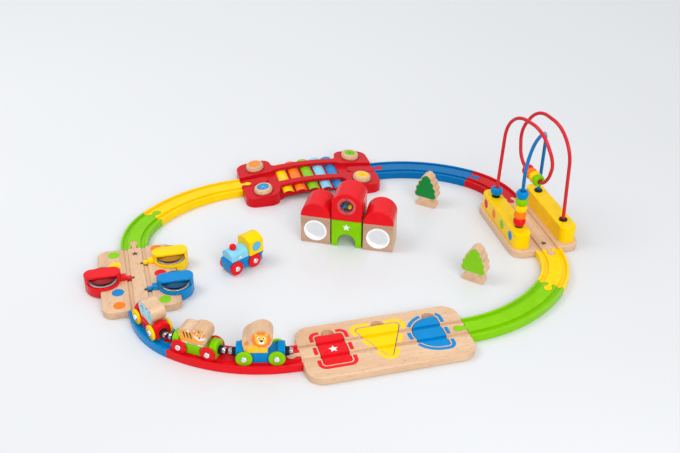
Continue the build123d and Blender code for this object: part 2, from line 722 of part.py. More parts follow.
RATTLE_TOP = 93.8
RATTLE_SHOULDER = 79.2
WINDOW_Z = 72.8
BEZEL_R = 14.5
RATTLE_R = 10.2
RATTLE_DEEP = 12.0
BALL_R = 3.9
BALL_X = 4.2
BALL_DROP = 3.9
with BuildPart() as rattle_block:
    arched_block(MIDDLE, CUBE + STACK, RATTLE_SHOULDER, RATTLE_TOP)
    front_disc(MIDDLE, BEZEL_R + FIT, WINDOW_Z, -1, 1.6, Mode.SUBTRACT)
    front_disc(MIDDLE, RATTLE_R, WINDOW_Z, -1, RATTLE_DEEP, Mode.SUBTRACT)
    front_disc(MIDDLE, BEZEL_R, WINDOW_Z, -0.5, 1.5, hole=RATTLE_R)
    for way in (-1, 1):
        with BuildSketch(side_of(MIDDLE, -0.55, WINDOW_Z + way * (BEZEL_R - 0.9))) as screw:
            Circle(1.7)
        extrude(screw.sketch, amount=0.5)
save(rattle_block, "rattle_block")

with BuildPart() as rattle_window:
    front_disc(MIDDLE, RATTLE_R - FIT, WINDOW_Z, 0.1, 1.5)
save(rattle_window, "rattle_window")

with BuildPart() as rattle_beads:
    for way in (-1, 1):
        centre = MIDDLE.origin + MIDDLE.x_dir * way * BALL_X + MIDDLE.y_dir * 6.7
        add(Sphere(BALL_R, mode=Mode.PRIVATE).moved(Location((centre.X, centre.Y, WINDOW_Z - BALL_DROP))))
save(rattle_beads, "rattle_beads")

# ---- two trees ------------------------------------------------------------------
TREE_T = 17.0
FOLIAGE = [(12.4, 22.6, 6.9), (11.0, 32.0, 6.8), (7.4, 41.5, 6.6), (3.2, 50.0, 6.0), (0.0, 52.6, 6.0)]


def tree(frame, label):
    """A flat cut-out tree on a wedge foot, its front face on the frame's x axis."""
    with BuildPart() as timber:
        with BuildSketch(side_of(frame)):
            for x, z, r in FOLIAGE:
                with Locations((-x, z), (x, z)):
                    Circle(r)
            Polygon(
                (-12, 15.8), (12, 15.8), (14, 24), (8, 42), (3, 52), (-3, 52), (-8, 42), (-14, 24),
                align=None)
            Polygon(
                (-16.4, 0), (16.4, 0), (16.4, 5.5), (9.6, 13), (8.6, 17), (-8.6, 17), (-9.6, 13),
                (-16.4, 5.5), align=None)
        extrude(amount=-TREE_T)
    save(timber, label)


tree(spot(168.5, 102.5, 0, -43.4), "tree_dark")
tree(spot(167.0, -114.5, 0, -45.6), "tree_light")

# ---- rolling stock -----------------------------------------------------------------
WHEEL_R = 11.0
WHEEL_T = 4.0
WHEEL_EDGE = 1.5
AXLE_SHAFT = 1.6
AXLE_RUN = 0.08
CAP_R = 4.3
CAP_H = 1.9
WELL_R = 12.4
WELL_Y = 10.5
BODY_HALF = 12.0
COUPLER_Z = 13.0
COLLAR_R = 6.0
MAGNET_R = 4.9


def wheelset(frame, x, label):
    """Two wheels fixed on one axle, with a domed cap on each wheel."""
    with BuildPart() as wheels:
        for way in (-1, 1):
            middle = way * GAUGE
            with BuildSketch(side_of(frame, middle + WHEEL_T / 2, WHEEL_R)):
                with Locations((x, 0)):
                    Circle(WHEEL_R)
            rim = extrude(amount=WHEEL_T)
            fillet(rim.edges(), WHEEL_EDGE)
            with BuildSketch(side_of(frame, 0, WHEEL_R)):
                with Locations((x, 0)):
                    Circle(CAP_R)
            cap = extrude(amount=-way * (GAUGE + WHEEL_T / 2 + CAP_H))
            tip = cap.faces().sort_by(Axis(frame.origin, frame.y_dir * way))[-1]
            fillet(tip.edges(), CAP_H - 0.2)
        with BuildSketch(side_of(frame, 0, WHEEL_R)):
            with Locations((x, 0)):
                Circle(WELL_R + 1)
        extrude(amount=GAUGE - WHEEL_T / 2, both=True, mode=Mode.SUBTRACT)
        with BuildSketch(side_of(frame, 0, WHEEL_R)):
            with Locations((x, 0)):
                Circle(AXLE_SHAFT)
        extrude(amount=GAUGE, both=True)
    save(wheels, label)


def wheel_room(frame, x):
    """Cut the axle's bore and the two wheel wells from a chassis."""
    with BuildSketch(side_of(frame, 0, WHEEL_R)) as bore:
        with Locations((x, 0)):
            Circle(AXLE_SHAFT + AXLE_RUN)
    extrude(bore.sketch, amount=GAUGE + 5, both=True, mode=Mode.SUBTRACT)
    for way in (-1, 1):
        with BuildSketch(side_of(frame, way * WELL_Y, WHEEL_R)) as well:
            with Locations((x, 0)):
                Circle(WELL_R)
        extrude(well.sketch, amount=-way * 10, mode=Mode.SUBTRACT)


def coupler(frame, x, way, reach):
    """A collar with a domed magnet, sticking out of a chassis end along way * x."""
    sections = ((COLLAR_R, FIT, reach - 4.7), (MAGNET_R, reach - 4.7 + FIT, reach))
    for radius, near, far in sections:
        with BuildSketch(end_of(frame, x + way * near, COUPLER_Z)) as ring:
            Circle(radius)
        body = extrude(ring.sketch, amount=way * (far - near))
        tip = body.faces().sort_by(Axis(frame.origin, frame.x_dir * way))[-1]
        fillet(tip.edges(), 1.6 if radius == MAGNET_R else 0.8)


CAR_HALF = 31.5
AXLE_X = 21.0
CAR_BASE = 3.9
CAR_DECK = 18.0
CAR_SIDE = 15.0
CAR_APEX = 27.0
RECESS_X = 22.3
COUPLER_REACH = 10.3


def car_chassis(frame, label):
    with BuildPart() as chassis:
        with BuildSketch(end_of(frame, -CAR_HALF)):
            with BuildLine():
                Polyline(
                    (-BODY_HALF, CAR_SIDE), (-BODY_HALF, CAR_BASE), (BODY_HALF, CAR_BASE),
                    (BODY_HALF, CAR_SIDE))
                ThreePointArc((BODY_HALF, CAR_SIDE), (0, CAR_APEX), (-BODY_HALF, CAR_SIDE))
            make_face()
        body = extrude(amount=2 * CAR_HALF)
        ends = body.faces().filter_by(lambda f: abs(f.normal_at().dot(frame.x_dir)) > 0.99)
        fillet(ends.edges(), 1.4)
        with BuildSketch(side_of(frame)):
            with Locations((0, CAR_DECK + 10)):
                RectangleRounded(2 * RECESS_X, 20, 2.5)
            with Locations((0, CAR_DECK + 15)):
                Rectangle(2 * RECESS_X, 20)
        extrude(amount=20, both=True, mode=Mode.SUBTRACT)
        wheel_room(frame, -AXLE_X)
        wheel_room(frame, AXLE_X)
        coupler(frame, CAR_HALF, 1, COUPLER_REACH)
        coupler(frame, -CAR_HALF, -1, COUPLER_REACH)
    save(chassis, label)


def figure(frame, outline, near, far, label):
    """A wooden animal block: a smooth outline over a flat base, standing in the recess."""
    with BuildPart() as animal:
        with BuildSketch(side_of(frame, far, CAR_DECK + CLEAR / 2)):
            with BuildLine():
                Line(outline[-1], outline[0])
                Spline(*outline)
            make_face()
        extrude(amount=far - near)
        faces_out = animal.faces().filter_by(lambda f: abs(f.normal_at().dot(frame.y_dir)) > 0.99)
        fillet(faces_out.edges(), 0.5)
    save(animal, label)


# Outlines of the animal blocks, from the base's front corner over the top to its rear corner.
LION = [
    (9.7, 0), (10.2, 7.5), (14.2, 13.5), (16.6, 21.0), (16.0, 29.0), (12.0, 35.3), (5.0, 38.6),
    (-2.5, 37.8), (-9.5, 34.0), (-16.5, 29.2), (-21.6, 22.5), (-22.8, 15.5), (-21.7, 8.0), (-20.8, 2.6), (-19.2, 0),
]
TIGER = [
    (15.6, 0), (16.2, 5.0), (19.4, 10.5), (20.8, 17.0), (20.2, 23.6), (17.2, 27.2), (13.8, 27.8),
    (10.4, 28.9), (6.8, 28.2), (3.6, 28.2), (0.6, 26.3), (-3.0, 24.9), (-10.0, 24.6), (-17.0, 22.8),
    (-21.2, 19.0), (-21.6, 13.5), (-19.4, 6.0), (-18.0, 0),
]
HIPPO = [
    (17.6, 0), (18.0, 4.6), (20.6, 8.6), (23.6, 13.6), (24.0, 19.6), (21.4, 25.0), (14.0, 26.6),
    (2.0, 26.9), (-8.8, 25.8), (-15.4, 21.8), (-17.8, 14.0), (-16.2, 7.0), (-13.6, 2.6), (-12.8, 0),
]
RAIL_Z = TRACK_H - GROOVE_D + 0.12


def car_frame(cx, cy, radius, angle):
    """A car's frame: middle of its axles, at wheel-bottom level, facing along the curve."""
    reach = sqrt(radius**2 - AXLE_X**2)
    return spot(cx + reach * cos(radians(angle)), cy + reach * sin(radians(angle)), RAIL_Z, angle + 90)


CARS = {
    "lion": (car_frame(-LONG_SIDE / 2, -LONG_Y, R_LONG, -103.3), LION, -10.5, 10.5),
    "tiger": (car_frame(-LONG_SIDE / 2, -LONG_Y, R_LONG, -125.7), TIGER, -10.5, 10.6),
    "hippo": (car_frame(-SHORT_X, -SHORT_SIDE / 2, R_SHORT, -158.8), HIPPO, -9.8, 10.6),
}
for name, (frame, outline, near, far) in CARS.items():
    car_chassis(frame, f"car_{name}_chassis")
    figure(frame, outline, near, far, f"car_{name}_figure")
    wheelset(frame, AXLE_X, f"car_{name}_wheels_a")
    wheelset(frame, -AXLE_X, f"car_{name}_wheels_b")

ENGINE = spot(-153.4, 6.2, 0, -152.9)
ENGINE_FRONT = 27.0
BOILER_FRONT = 23.4
ENGINE_REAR = -31.0
ENGINE_AXLE = 16.5
ENGINE_BASE = 5.5
ENGINE_DECK = 22.5
CAB_FRONT = -7.0
CAB_REAR = -32.4
CAB_HALF = 14.8

with BuildPart() as engine_chassis:
    with BuildSketch(side_of(ENGINE)):
        with Locations(((ENGINE_FRONT + ENGINE_REAR) / 2, (ENGINE_BASE + ENGINE_DECK) / 2)):
            RectangleRounded(ENGINE_FRONT - ENGINE_REAR, ENGINE_DECK - ENGINE_BASE, 2.0)
    extrude(amount=BODY_HALF, both=True)
    wheel_room(ENGINE, -ENGINE_AXLE)
    wheel_room(ENGINE, ENGINE_AXLE)
    coupler(ENGINE, ENGINE_REAR, -1, 9.0)
save(engine_chassis, "engine_chassis")


def hood(frame, x_low, x_high, half, low, shoulder, apex):
    """An engine body piece with an arched top, running along the frame's x axis."""
    with BuildSketch(end_of(frame, x_low)) as face:
        with BuildLine() as edge:
            Polyline((-half, shoulder), (-half, low), (half, low), (half, shoulder))
            ThreePointArc((half, shoulder), (0, apex), (-half, shoulder))
        make_face(edge.edges())
    body = extrude(face.sketch, amount=x_high - x_low)
    ends = body.faces().filter_by(lambda f: abs(f.normal_at().dot(frame.x_dir)) > 0.99)
    chamfer(ends.edges(), ARRIS)


BUTTON_R = 5.3
BUTTON_X = 12.5
BOILER_TOP = 37.6
with BuildPart() as engine_boiler:
    hood(ENGINE, CAB_FRONT + FIT, BOILER_FRONT, BODY_HALF, ENGINE_DECK + FIT, 32.2, BOILER_TOP)
    centre = ENGINE.origin + ENGINE.x_dir * BUTTON_X
    add(Sphere(BUTTON_R, mode=Mode.PRIVATE).moved(Location((centre.X, centre.Y, BOILER_TOP + 2.6))))
save(engine_boiler, "engine_boiler")

with BuildPart() as engine_cab:
    hood(ENGINE, CAB_REAR, CAB_FRONT, CAB_HALF, ENGINE_DECK + FIT, 44.2, 50.2)
save(engine_cab, "engine_cab")

wheelset(ENGINE, ENGINE_AXLE, "engine_wheels_front")
wheelset(ENGINE, -ENGINE_AXLE, "engine_wheels_rear")
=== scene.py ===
from math import atan, atan2, cos, hypot, pi, radians, sin, sqrt, tan
import bpy
from mathutils import Matrix, Vector


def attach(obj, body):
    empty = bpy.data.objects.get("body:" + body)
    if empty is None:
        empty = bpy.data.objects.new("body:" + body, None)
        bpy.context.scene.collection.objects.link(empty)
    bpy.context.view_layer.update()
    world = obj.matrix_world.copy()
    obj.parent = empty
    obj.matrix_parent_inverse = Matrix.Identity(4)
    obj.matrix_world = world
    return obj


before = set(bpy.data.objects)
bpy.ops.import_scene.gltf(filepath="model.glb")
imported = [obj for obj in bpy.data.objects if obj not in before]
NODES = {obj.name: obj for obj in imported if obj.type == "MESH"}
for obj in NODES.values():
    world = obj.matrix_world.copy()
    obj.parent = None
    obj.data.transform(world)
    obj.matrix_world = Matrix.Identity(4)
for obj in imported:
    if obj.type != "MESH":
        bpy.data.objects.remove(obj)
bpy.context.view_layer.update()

# Sizes are in millimetres in the loop's drawing frame, as in the CAD model.
MM = 0.001
GAUGE = 13.0
GROOVE_W = 6.8
TRACK_H = 12.0
RAIL_Z = 9.12           # where wheels stand: the grooves' floor and a running gap
R_LONG = 218.0
R_SHORT = 118.5
LONG_SIDE = 230.0
SHORT_SIDE = 155.0
PUZZLE_W = 106.0
SIDE_W = 110.0
BRIDGE_HALF = 60.0
ARM_CENTRE = 49.9
ARM_L = 52.0
DIAG = sin(radians(45))
X0 = LONG_SIDE / 2 + DIAG * R_LONG + (1 - DIAG) * R_SHORT
Y0 = SHORT_SIDE / 2 + (1 - DIAG) * R_LONG + DIAG * R_SHORT
SHIFT_X = (ARM_CENTRE + ARM_L / 2 - SIDE_W / 2) / 2
SHIFT_Y = (PUZZLE_W / 2 - BRIDGE_HALF) / 2
INK = 0.06              # thickness of a printed colour
LIFT = 0.02             # how far a print stands off its surface


# ---- places ---------------------------------------------------------------------
def spot(x, y, z=0.0, turn=0.0):
    """The matrix from a level place's own millimetres to the row frame's metres."""
    place = Matrix.Translation(((x + SHIFT_X) * MM, (y + SHIFT_Y) * MM, z * MM))
    return place @ Matrix.Rotation(radians(turn), 4, "Z") @ Matrix.Scale(MM, 4)


def car_spot(cx, cy, radius, angle):
    """A car's place on a curve: middle of its axles, at the wheels' lowest point."""
    reach = sqrt(radius**2 - AXLE_X**2)
    x, y = cx + reach * cos(radians(angle)), cy + reach * sin(radians(angle))
    return spot(x, y, RAIL_Z, angle + 90)


def wall(place, out=0.0, up=0.0, back=False):
    """A drawing plane on the -y side of a place (or its +y side), x across and z up."""
    way = -1 if back else 1
    turn = Matrix(((way, 0, 0, 0), (0, 0, -way, -way * out), (0, 1, 0, up), (0, 0, 0, 1)))
    return place @ turn


def lying(place, z):
    """A drawing plane that lies level, z millimetres above a place."""
    return place @ Matrix.Translation((0, 0, z))


AXLE_X = 21.0
LEFT_TURN, MIDDLE_TURN, RIGHT_TURN = -27.8, -26.5, -24.8
LEFT = spot(-30.7, 41.6, 0, LEFT_TURN)
MIDDLE = spot(12.2, 18.4, 0, MIDDLE_TURN)
RIGHT = spot(55.9, -4.2, 0, RIGHT_TURN)
TREE_TURNS = {"tree_dark": -43.4, "tree_light": -45.6}
TREES = {"tree_dark": spot(168.5, 102.5, 0, TREE_TURNS["tree_dark"]),
         "tree_light": spot(167.0, -114.5, 0, TREE_TURNS["tree_light"])}
ENGINE = spot(-153.4, 6.2, 0, -152.9)
LONG_C = (-LONG_SIDE / 2, R_LONG - Y0)
SHORT_C = (R_SHORT - X0, -SHORT_SIDE / 2)
CARS = {
    "lion": (car_spot(*LONG_C, R_LONG, -103.3), -13.3),
    "tiger": (car_spot(*LONG_C, R_LONG, -125.7), -35.7),
    "hippo": (car_spot(*SHORT_C, R_SHORT, -158.8), -68.8),
}

# ---- colours ----------------------------------------------------------------------
RED = (0.76, 0.008, 0.014)
BLUE = (0.0, 0.225, 0.56)
# darker blue and red for the pieces at the back of the set: painted shade
SHADED_BLUE = (0.0, 0.155, 0.42)
SHADED_RED = (0.60, 0.006, 0.012)
GREEN = (0.22, 0.56, 0.0)
YELLOW = (0.96, 0.62, 0.0)
ORANGE = (0.98, 0.20, 0.008)
SKY = (0.24, 0.62, 0.82)
LEAF = (0.0, 0.22, 0.035)
WHITE = (0.86, 0.86, 0.85)
BLACK = (0.012, 0.012, 0.014)
BROWN = (0.09, 0.035, 0.02)


# ---- materials --------------------------------------------------------------------
class Surface:
    """A node material, with short helpers for its procedural detail."""

    def __init__(self, name):
        self.material = bpy.data.materials.new(name)
        self.material.use_nodes = True
        self.tree = self.material.node_tree
        self.shader = self.tree.nodes["Principled BSDF"]
        self.coords = self.tree.nodes.new("ShaderNodeTexCoord").outputs["Object"]

    def node(self, kind, links=None, **values):
        """A new node, its inputs linked to other nodes' outputs and its own settings made."""
        made = self.tree.nodes.new(kind)
        for key, value in values.items():
            setattr(made, key, value)
        for key, source in (links or {}).items():
            self.tree.links.new(source, made.inputs[key])
        return made

    def set(self, **values):
        for key, value in values.items():
            self.shader.inputs[key.replace("_", " ")].default_value = value

    def wire(self, source, socket):
        self.tree.links.new(source, self.shader.inputs[socket])

    def stretched(self, turn, along, across):
        """Coordinates turned by an angle, with features long along x and thin across it."""
        turned = self.node("ShaderNodeVectorRotate", {"Vector": self.coords}, rotation_type="Z_AXIS")
        turned.inputs["Angle"].default_value = -radians(turn)
        scaled = self.node("ShaderNodeMapping", {"Vector": turned.outputs[0]})
        scaled.inputs["Scale"].default_value = (along, across, across)
        return scaled.outputs[0]

    def noise(self, vector, scale=1.0, detail=4.0, rough=0.55):
        made = self.node("ShaderNodeTexNoise", {"Vector": vector})
        made.inputs["Scale"].default_value = scale
        made.inputs["Detail"].default_value = detail
        made.inputs["Roughness"].default_value = rough
        return made.outputs["Fac"]

    def ramp(self, source, low, high, dark, light):
        """Blend from one colour to another as the source goes from low to high."""
        made = self.node("ShaderNodeValToRGB", {"Fac": source})
        made.color_ramp.elements[0].position = low
        made.color_ramp.elements[1].position = high
        made.color_ramp.elements[0].color = (*dark, 1)
        made.color_ramp.elements[1].color = (*light, 1)
        return made.outputs["Color"]

    def level(self, source, low, high, first, last):
        """The source's stretch low to high, as numbers from first to last."""
        made = self.node("ShaderNodeMapRange", {"Value": source})
        for key, value in (("From Min", low), ("From Max", high), ("To Min", first), ("To Max", last)):
            made.inputs[key].default_value = value
        return made.outputs["Result"]

    def mix(self, factor, a, b):
        """Colour a, going over to colour b as the factor goes from 0 to 1."""
        made = self.node("ShaderNodeMix", {"Factor": factor}, data_type="RGBA")
        for name, colour in (("A", a), ("B", b)):
            socket = [s for s in made.inputs if s.name == name and s.type == "RGBA"][0]
            if isinstance(colour, tuple):
                socket.default_value = (*colour, 1)
            else:
                self.tree.links.new(colour, socket)
        return [s for s in made.outputs if s.type == "RGBA"][0]

    def edges(self, radius):
        """A mask of the sharp edges, 1 on an edge, and the rounded normal there."""
        soft = self.node("ShaderNodeBevel", samples=6)
        soft.inputs["Radius"].default_value = radius
        flat = self.node("ShaderNodeNewGeometry")
        both = {0: soft.outputs[0], 1: flat.outputs["Normal"]}
        dot = self.node("ShaderNodeVectorMath", both, operation="DOT_PRODUCT")
        return self.level(dot.outputs["Value"], 1.0, 0.86, 0.0, 1.0), soft.outputs[0]

    def bump(self, height, depth, normal=None):
        made = self.node("ShaderNodeBump", {"Height": height})
        made.inputs["Distance"].default_value = depth
        made.inputs["Strength"].default_value = 1.0
        if normal is not None:
            self.tree.links.new(normal, made.inputs["Normal"])
        self.wire(made.outputs[0], "Normal")


def shade(colour, factor):
    """A colour made lighter or darker by a factor, with no channel above 1."""
    return tuple(min(1.0, c * factor) for c in colour)


PALE = (0.76, 0.52, 0.33)
TAN = (0.63, 0.38, 0.215)
END_PALE = (0.58, 0.36, 0.25)
END_DARK = (0.44, 0.25, 0.165)
FLECK_TINT = (0.72, 0.52, 0.40)
BARE_WOOD = (0.80, 0.72, 0.60)


def beech(name, turn=0.0, pale=PALE, deep=TAN):
    """Lacquered beech: broad figure, fine grain lines, short dark flecks, paler along every sharp edge."""
    s = Surface(name)
    figure = s.noise(s.stretched(turn, 5, 60), detail=3)
    lines = s.noise(s.stretched(turn, 22, 900), detail=5, rough=0.65)
    flecks = s.noise(s.stretched(turn, 190, 620), detail=1)
    base = s.ramp(figure, 0.30, 0.72, deep, pale)
    lined = s.mix(s.level(lines, 0.45, 0.75, 0.0, 0.34), base, shade(deep, 0.82))
    fleck = tuple(c * f for c, f in zip(deep, FLECK_TINT))
    flecked = s.mix(s.level(flecks, 0.61, 0.70, 0.0, 0.48), lined, fleck)
    # every sharp edge is made up to a quarter of the way paler
    edge, normal = s.edges(0.0006)
    s.wire(s.mix(s.level(edge, 0, 1, 0, 0.25), flecked, shade(pale, 1.12)), "Base Color")
    s.wire(s.level(lines, 0.3, 0.8, 0.40, 0.56), "Roughness")
    s.set(Coat_Weight=0.12, Coat_Roughness=0.3, Specular_IOR_Level=0.42)
    s.bump(lines, 0.00007, normal)
    return s.material


def paint(name, colour, gloss=0.24, coat=0.12, grain=0.00002):
    """Glossy paint on wood: faint mottling, grain under the paint, pale worn edges."""
    s = Surface(name)
    cloud = s.noise(s.coords, scale=55, detail=3)
    lines = s.noise(s.stretched(0.0, 30, 700), detail=4)
    base = s.ramp(cloud, 0.35, 0.68, shade(colour, 0.95), shade(colour, 1.03))
    edge, normal = s.edges(0.0007)
    scuff = s.noise(s.coords, scale=420, detail=4)
    patchy = {0: edge, 1: s.level(scuff, 0.56, 0.66, 0.02, 0.16)}
    worn = s.node("ShaderNodeMath", patchy, operation="MULTIPLY")
    pale = tuple(0.55 * c + 0.45 * w for c, w in zip(colour, BARE_WOOD))
    s.wire(s.mix(worn.outputs[0], base, pale), "Base Color")
    s.wire(s.level(cloud, 0.3, 0.7, gloss - 0.05, gloss + 0.07), "Roughness")
    s.set(Coat_Weight=coat, Coat_Roughness=0.08, Specular_IOR_Level=0.2)
    s.shader.inputs["Specular Tint"].default_value = (*colour, 1)
    s.bump(lines, grain, normal)
    return s.material


def moulded(name, colour, gloss=0.16):
    """Glossy moulded plastic with faint flow marks and a fine orange-peel skin."""
    s = Surface(name)
    flow = s.noise(s.coords, scale=38, detail=2)
    peel = s.noise(s.coords, scale=900, detail=2)
    s.wire(s.ramp(flow, 0.3, 0.7, shade(colour, 0.94), shade(colour, 1.03)), "Base Color")
    s.wire(s.level(flow, 0.3, 0.7, gloss, gloss + 0.08), "Roughness")
    s.set(Coat_Weight=0.2, Coat_Roughness=0.06, Specular_IOR_Level=0.1, Subsurface_Weight=0.04)
    s.shader.inputs["Subsurface Radius"].default_value = (0.002, 0.001, 0.0006)
    s.bump(peel, 0.000012, s.edges(0.0009)[1])
    return s.material


def metal(name, colour, gloss, scratch=0.00001, vary=0.12, metallic=1.0):
    """Polished metal with fine scratches and uneven polish."""
    s = Surface(name)
    polish = s.noise(s.coords, scale=240, detail=3)
    lines = s.noise(s.stretched(35, 60, 2400), detail=3)
    s.wire(s.ramp(polish, 0.3, 0.7, shade(colour, 1 - vary), colour), "Base Color")
    s.wire(s.level(lines, 0.3, 0.75, gloss, gloss + 0.14), "Roughness")
    s.set(Metallic=metallic)
    s.bump(lines, scratch, s.edges(0.0004)[1])
    return s.material


def print_ink(name, colour):
    """Screen-printed colour: slightly uneven cover over the grain, satin gloss."""
    s = Surface(name)
    cover = s.noise(s.coords, scale=700, detail=3)
    s.wire(s.ramp(cover, 0.28, 0.66, shade(colour, 0.88), shade(colour, 1.05)), "Base Color")
    s.wire(s.level(cover, 0.3, 0.7, 0.36, 0.48), "Roughness")
    s.set(Coat_Weight=0.1, Coat_Roughness=0.3, Specular_IOR_Level=0.2)
    s.bump(cover, 0.00001)
    return s.material


def clear(name):
    """Clear plastic window with a faint haze."""
    s = Surface(name)
    haze = s.noise(s.coords, scale=300, detail=2)
    s.wire(s.ramp(haze, 0.3, 0.7, (0.92, 0.94, 0.95), (0.98, 0.99, 1.0)), "Base Color")
    s.wire(s.level(haze, 0.3, 0.7, 0.02, 0.06), "Roughness")
    s.set(Transmission_Weight=1.0, IOR=1.2)
    return s.material


def studio_floor(name):
    """A smooth pale table with a faint sheen, painted a little paler towards the back: painted light."""
    s = Surface(name)
    cloud = s.noise(s.coords, scale=1.3, detail=2)
    depth = s.node("ShaderNodeSeparateXYZ", {0: s.coords})
    near = s.ramp(cloud, 0.3, 0.7, (0.66, 0.668, 0.682), (0.69, 0.698, 0.712))
    # darker near the camera and paler far off: painted light on the floor
    s.wire(s.mix(s.level(depth.outputs["Y"], -0.3, 1.2, 0.0, 1.0), near, (0.84, 0.85, 0.865)), "Base Color")
    s.wire(s.level(cloud, 0.3, 0.7, 0.20, 0.26), "Roughness")
    s.set(Specular_IOR_Level=0.35)
    return s.material


PAINTS = {"red": RED, "blue": BLUE, "green": GREEN, "yellow": YELLOW, "orange": ORANGE, "sky": SKY}
gloss_paint = {key: paint(f"paint_{key}", colour) for key, colour in PAINTS.items()}
INKS = {**PAINTS, "leaf": LEAF, "white": WHITE, "black": BLACK, "brown": BROWN,
        "gold": (0.93, 0.55, 0.03), "amber": (0.98, 0.40, 0.04), "flame": (0.90, 0.22, 0.03),
        "deep_sky": (0.03, 0.30, 0.58), "pale_sky": (0.42, 0.74, 0.86), "pane": (0.10, 0.48, 0.74),
        "burn": (0.13, 0.055, 0.03)}
ink = {key: print_ink(f"ink_{key}", colour) for key, colour in INKS.items()}
plastic = {key: moulded(f"plastic_{key}", PAINTS[key]) for key in ("red", "yellow", "blue")}
rim_steel = metal("rim_steel", (0.97, 0.97, 0.98), 0.2, metallic=0.4)
magnet = metal("magnet_steel", (0.50, 0.50, 0.52), 0.10)
chrome = metal("chrome_cap", (0.86, 0.86, 0.87), 0.06)
shaft_metal = metal("axle_steel", (0.45, 0.45, 0.46), 0.30)
mirror_glass = metal("mirror_face", (0.88, 0.90, 0.91), 0.03, 0.000001, 0.02)
rubber = moulded("black_plastic", BLACK, 0.14)
white_ring = moulded("white_ring", (0.93, 0.94, 0.94), 0.24)
bezel_red = moulded("bezel_red", (0.66, 0.08, 0.085), 0.2)
# the rattle's cavity behind the window: a dull red darkened as painted shade inside the recess
cavity_shaded = moulded("cavity_shaded", (0.50, 0.12, 0.11), 0.5)
screw_steel = metal("screw_steel", (0.16, 0.16, 0.17), 0.35)
window_clear = clear("window_clear")


# ---- painting CAD nodes, face by face -------------------------------------------
def dress(node, materials, choose=None, place=None):
    """Give a CAD node its materials. choose(centre, normal) picks one, in the place's millimetres."""
    mesh = NODES[node].data
    mesh.materials.clear()
    for material in materials:
        mesh.materials.append(material)
    if choose is None:
        return
    inside = place.inverted()
    turn = inside.to_3x3().normalized()
    for face in mesh.polygons:
        face.material_index = choose(inside @ face.center, turn @ face.normal)


# tracks: the ones at the back have a darker paint, painted shade for the far side of the set
shaded_red = paint("paint_shaded_red", SHADED_RED)
FAR_SHADED_PAINTS = {"track_long_blue": paint("paint_shaded_blue", SHADED_BLUE), "track_short_red": shaded_red}
for name in NODES:
    if name.startswith("track_"):
        dress(name, [FAR_SHADED_PAINTS.get(name, gloss_paint[name.split("_")[-1]])])

plate_x = beech("beech_along_x", 0)
plate_y = beech("beech_along_y", 90)
dress("puzzle_plate", [plate_x])

# cymbal plate: the slots are painted dark inside, on their floors, ends and lower walls: painted shade
ARM_Y = 33.6
SLOT_X = 11.5
SLOT_REACH, SLOT_HALF = 7.0, 3.6
SLOT_LOW, SLOT_HIGH = 5.0, 8.9
SLOTS = [(-X0 + SLOT_X, ARM_Y), (-X0 + SLOT_X, -ARM_Y), (-X0 - SLOT_X, 0)]
# near-black beech in the slots: painted shade
slot_painted_shade = beech("slot_shade", 90, (0.10, 0.05, 0.03), (0.05, 0.025, 0.015))


def slot_face(c, n):
    near = any(abs(c.x - x) < SLOT_REACH and abs(c.y - y) < SLOT_HALF for x, y in SLOTS)
    return int(near and SLOT_LOW < c.z < SLOT_HIGH)


dress("cymbal_plate", [plate_y, slot_painted_shade], slot_face, spot(0, 0))
dress("maze_base", [plate_y])
for shape, colour in (("rectangle", "red"), ("triangle", "yellow"), ("half_round", "blue")):
    dress(f"puzzle_{shape}", [gloss_paint[colour]])
dress("cymbal_pivot_pins", [shaft_metal])
# each lever's discs: the lower one's rim is bright; the rest has the housing's colour, a painted reflection
# of the housing
RIM_R = 17.8
ARMS = {"yellow": spot(-X0, ARM_Y), "blue": spot(-X0, -ARM_Y), "red": spot(-X0, 0, 0, 180)}
BETWEEN_DISCS = 19.3
DISH_REFLECTION_TINTS = {"yellow": (0.40, 0.17, 0.0), "blue": (0.0, 0.06, 0.16), "red": (0.26, 0.004, 0.008)}
for colour, place in ARMS.items():
    dress(f"cymbal_arm_{colour}", [plastic[colour]])
    painted_reflection = metal(f"dish_{colour}", DISH_REFLECTION_TINTS[colour], 0.4, metallic=0.2)
    dress(f"cymbal_discs_{colour}", [rim_steel, painted_reflection],
          lambda c, n: int(hypot(c.x - ARM_CENTRE, c.y) < RIM_R - 0.05 or c.z > BETWEEN_DISCS), place)

# ---- bead maze ---------------------------------------------------------------------
BLOCK_TOP = 38.5
MAZE = spot(X0, 0)
dress("maze_blocks", [gloss_paint["yellow"], rubber], lambda c, n: int(c.z > BLOCK_TOP + 0.02), MAZE)
dress("maze_wire_red", [moulded("wire_red", (0.62, 0.02, 0.03), 0.18)])
dress("maze_wire_blue", [moulded("wire_blue", (0.0, 0.145, 0.42), 0.18)])
dress("maze_bead_single", [gloss_paint["blue"]])
BEAD_L = 12.0
STACK_FOOT = 41.7
STACK = [gloss_paint[c] for c in ("red", "orange", "yellow", "green", "blue")]
dress("maze_beads_stack", STACK, lambda c, n: max(0, min(4, int((c.z - STACK_FOOT) / BEAD_L))), MAZE)
LOOP_BEAD_L = 11.2
LOOP = [gloss_paint[c] for c in ("green", "yellow", "orange", "red")]
dress("maze_beads_loop", LOOP, lambda c, n: max(0, min(3, int(c.y / LOOP_BEAD_L + 2))), MAZE)

# ---- xylophone -----------------------------------------------------------------------
KEY_PITCH = 21.5
BRIDGE = spot(0, Y0)
KEYS = [paint(f"key_{c}", PAINTS[c], 0.18, 0.6, 0.000004)
        for c in ("yellow", "orange", "green", "sky", "blue")]
# the frame stands at the back and has the same darker red: painted shade
dress("xylophone_frame", [shaded_red])
dress("xylophone_keys", KEYS, lambda c, n: max(0, min(4, round(c.x / KEY_PITCH) + 2)), BRIDGE)
for colour in ("red", "blue", "green", "yellow"):
    dress(f"xylophone_knob_{colour}", [plate_x])

